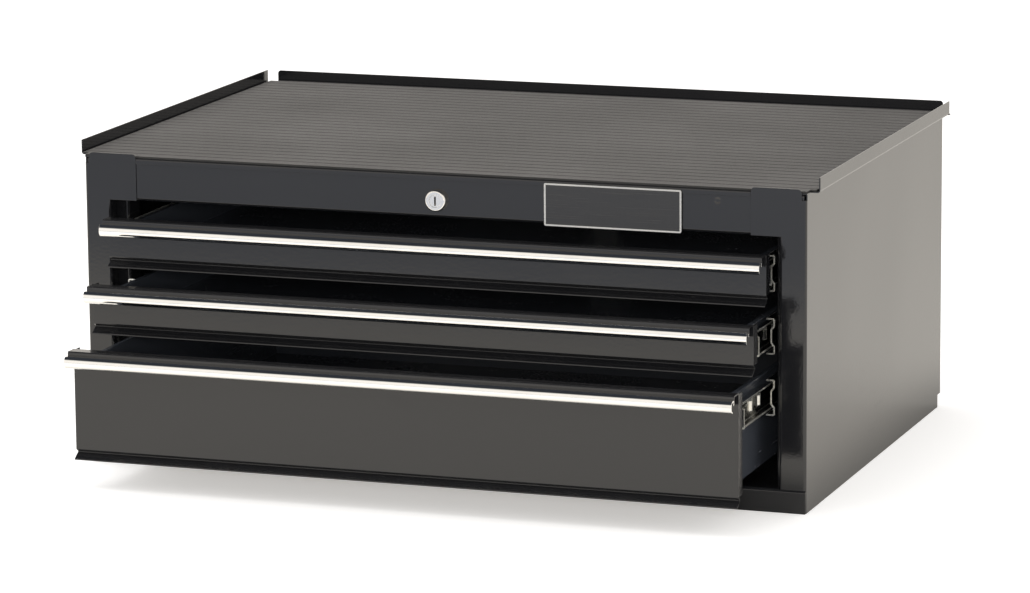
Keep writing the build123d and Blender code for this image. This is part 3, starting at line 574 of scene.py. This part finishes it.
# Near the chest's base the mirrored glow is cut away: a painted shadow of the chest.
beside = calc(tree, "SUBTRACT", calc(tree, "ABSOLUTE", spot.outputs["X"]), base_half_width)
ahead = calc(tree, "SUBTRACT", base_front, spot.outputs["Y"])
clear = remap(tree, calc(tree, "MAXIMUM", beside, ahead), *painted_shadow_fade)
mirrored_paper = blend(tree, bright, (0.6, 0.62, 0.67), (0.8, 0.77, 0.71))
tree.links.new(blend(tree, in_mirror, paper_white, mirrored_paper), shader.inputs["Base Color"])
seen = calc(tree, "MULTIPLY", path.outputs["Is Camera Ray"], seen_glow)
tint = blend(tree, in_mirror, (1.0, 0.965, 0.92), (1.0, 0.92, 0.82))
lit = calc(tree, "MULTIPLY", calc(tree, "MULTIPLY", bright, clear), mirrored_glow)
mirrored = calc(tree, "MULTIPLY", in_mirror, lit)
glow = add(tree, "ShaderNodeEmission", Color=tint, Strength=calc(tree, "ADD", mirrored, seen))
lifted = add(tree, "ShaderNodeAddShader", _0=shader.outputs[0], _1=glow.outputs[0])
tree.links.new(lifted.outputs[0], tree.nodes["Material Output"].inputs["Surface"])
floor.data.materials.append(paper)
print("floor ready")

# %% World
plain_light = (0.85, 0.85, 0.85)
gloss_low, gloss_high = (1.12, 1.06, 0.98), (0.03, 0.034, 0.042)
dark_in_front, dark_behind = 0.55, 0.28         # heights of a direction where the dark begins
dark_fade = 0.22
world = bpy.data.worlds.new("Studio surroundings")
bpy.context.scene.world = world
world.use_nodes = True
tree = world.node_tree
sky = tree.nodes["Background"]
sky.inputs["Color"].default_value = (1.0, 1.0, 1.0, 1.0)
direction = add(tree, "ShaderNodeSeparateXYZ", Vector=add(tree, "ShaderNodeTexCoord").outputs["Generated"])
behind = remap(tree, direction.outputs["Y"], -0.15, 0.15)
dark_from = calc(tree, "MULTIPLY_ADD", behind, dark_behind - dark_in_front, dark_in_front)
shade = remap(tree, calc(tree, "SUBTRACT", direction.outputs["Z"], dark_from), 0.0, dark_fade)
path = add(tree, "ShaderNodeLightPath")
gloss_light = blend(tree, shade, gloss_low, gloss_high)
lit = blend(tree, path.outputs["Is Glossy Ray"], plain_light, gloss_light)
tree.links.new(blend(tree, path.outputs["Is Camera Ray"], lit, (1.0, 1.0, 1.0)), sky.inputs["Color"])
print("world ready")


# %% Lamps
def soft_lamp(name, place, aim, size, power):
    """A square soft lamp that looks at a point and that mirrors don't show."""
    data = bpy.data.lights.new(name, "AREA")
    data.shape = "SQUARE"
    data.size = size
    data.energy = power
    lamp = bpy.data.objects.new(name, data)
    lamp.visible_glossy = False
    lamp.location = place
    lamp.rotation_mode = "QUATERNION"
    lamp.rotation_quaternion = (Vector(aim) - Vector(place)).to_track_quat("-Z", "Y")
    bpy.context.scene.collection.objects.link(lamp)


soft_lamp("Overhead lamp", place=(-0.7, -0.5, 2.5), aim=(0.0, 0.0, 0.1), size=1.6, power=26.0)
soft_lamp("Fill beside the camera", place=(1.4, -4.3, 1.1), aim=(0.0, 0.0, 0.15), size=0.6, power=64.0)
print("lamps:", len(bpy.data.lights))

# %% [markdown]
# # Camera
# The camera stands far off with a long lens, a little to the right and above, as in the photograph.
# Three unit vectors give its attitude. A small shift of the lens frames the chest as the photograph
# does without turning the camera.

# %% Camera
image_width, image_height = 1030, 593
focal_pixels = 4862.953
centre_x, centre_y = 537.466, 268.302
azimuth, elevation, roll = math.radians(19.39), math.radians(10.93), math.radians(-0.43)
camera_place = (1.47949, -4.16802, 1.00942)
sensor_width = 36.0
flat = math.cos(elevation)
forward = Vector((-math.sin(azimuth) * flat, math.cos(azimuth) * flat, -math.sin(elevation)))
level = Vector((math.cos(azimuth), math.sin(azimuth), 0.0))
upright = level.cross(forward)
right = level * math.cos(roll) + upright * math.sin(roll)
up = upright * math.cos(roll) - level * math.sin(roll)
camera = bpy.data.objects.new("Camera", bpy.data.cameras.new("Camera"))
bpy.context.scene.collection.objects.link(camera)
attitude = Matrix((right, up, -forward)).transposed().to_4x4()
camera.matrix_world = Matrix.Translation(camera_place) @ attitude
camera.data.sensor_fit = "HORIZONTAL"
camera.data.sensor_width = sensor_width
camera.data.lens = focal_pixels * sensor_width / image_width
camera.data.shift_x = (image_width / 2 - centre_x) / image_width
camera.data.shift_y = (centre_y - image_height / 2) / image_width
bpy.context.scene.camera = camera
bpy.context.scene.view_settings.view_transform = "Standard"
print("lens in mm:", round(camera.data.lens, 1))
